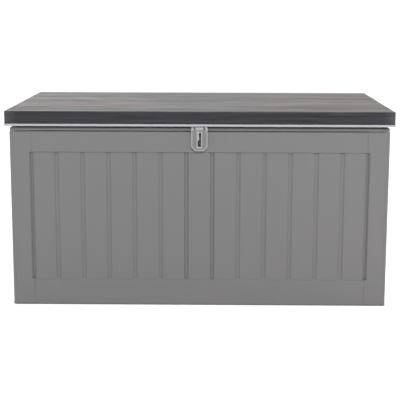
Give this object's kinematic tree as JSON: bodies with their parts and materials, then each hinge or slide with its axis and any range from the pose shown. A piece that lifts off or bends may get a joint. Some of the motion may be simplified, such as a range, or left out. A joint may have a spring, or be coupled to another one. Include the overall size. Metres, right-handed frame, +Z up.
{
  "type": "garden storage box",
  "caption": "Free-standing garden storage box with board-moulded walls, a hinged plank-moulded lid held by gas struts, and a swinging hasp over a padlock eye.",
  "frame": {"origin": "on the ground under the middle of the box", "axes": "+X along the length, -Y out of the front, +Z up"},
  "size_m": [1.22, 0.726, 0.6243],
  "materials": {
    "wall_plastic": "fine satin texture",
    "lid_shell": "wood-grain moulded",
    "pale_liner": "satin",
    "silver_plastic": "satin silver grey",
    "bright_steel": "bright zinc",
    "zinc_steel": "grey powder coat",
    "black_enamel": "black enamel",
    "black_plastic": "satin"
  },
  "bodies": {
    "root": {"floor_panel": "wall_plastic", "front_panel": "wall_plastic", "back_panel": "wall_plastic", "left_side_panel": "wall_plastic", "right_side_panel": "wall_plastic", "hinge_base_screws": "bright_steel", "strut_lower_screws": "bright_steel", "padlock_eye": "black_plastic", "padlock_eye_screws": "bright_steel", "left_hinge_base": "zinc_steel", "left_hinge_pin": "bright_steel", "centre_hinge_base": "zinc_steel", "centre_hinge_pin": "bright_steel", "right_hinge_base": "zinc_steel", "right_hinge_pin": "bright_steel", "left_strut_lower_bracket": "zinc_steel", "right_strut_lower_bracket": "zinc_steel"},
    "lid": {"lid_cap": "lid_shell", "lid_liner": "pale_liner", "lid_screws": "bright_steel", "hinge_leaf_screws": "bright_steel", "strut_upper_screws": "bright_steel", "hasp_bracket": "zinc_steel", "hasp_pin": "bright_steel", "hasp_bracket_screws": "bright_steel", "left_hinge_leaf": "zinc_steel", "centre_hinge_leaf": "zinc_steel", "right_hinge_leaf": "zinc_steel", "left_strut_upper_bracket": "zinc_steel", "right_strut_upper_bracket": "zinc_steel"},
    "hasp": {"hasp": "silver_plastic"},
    "left_strut_tube": {"left_strut_cylinder": "black_enamel", "left_strut_foot_eye": "black_plastic"},
    "left_strut_slider": {"left_strut_rod": "bright_steel", "left_strut_head_eye": "black_plastic"},
    "right_strut_tube": {"right_strut_cylinder": "black_enamel", "right_strut_foot_eye": "black_plastic"},
    "right_strut_slider": {"right_strut_rod": "bright_steel", "right_strut_head_eye": "black_plastic"}
  },
  "joints": [
    {"name": "lid_hinge", "type": "hinge", "parent": "root", "child": "lid", "pos_m": [0, 0.355, 0.5662], "axis": [-1, 0, 0], "range_deg": [0, 90]},
    {"name": "hasp_hinge", "type": "hinge", "parent": "lid", "child": "hasp", "pos_m": [0, -0.3497, 0.5725], "axis": [-1, 0, 0], "range_deg": [0, 90]},
    {"name": "left_strut_foot", "type": "hinge", "parent": "root", "child": "left_strut_tube", "pos_m": [-0.559, 0.26607, 0.32188], "axis": [-1, 0, 0], "range_deg": [0, 45]},
    {"name": "left_strut_head", "type": "hinge", "parent": "lid", "child": "left_strut_slider", "pos_m": [-0.559, 0.095, 0.5662], "axis": [-1, 0, 0], "range_deg": [-45, 0]},
    {"name": "right_strut_foot", "type": "hinge", "parent": "root", "child": "right_strut_tube", "pos_m": [0.559, 0.26607, 0.32188], "axis": [-1, 0, 0], "range_deg": [0, 45]},
    {"name": "right_strut_head", "type": "hinge", "parent": "lid", "child": "right_strut_slider", "pos_m": [0.559, 0.095, 0.5662], "axis": [-1, 0, 0], "range_deg": [-45, 0]}
  ],
  "couplings": [
    {"joint": "left_strut_foot", "follows": "lid_hinge", "ratio": 0.5},
    {"joint": "left_strut_head", "follows": "lid_hinge", "ratio": -0.5},
    {"joint": "right_strut_foot", "follows": "lid_hinge", "ratio": 0.5},
    {"joint": "right_strut_head", "follows": "lid_hinge", "ratio": -0.5}
  ]
}
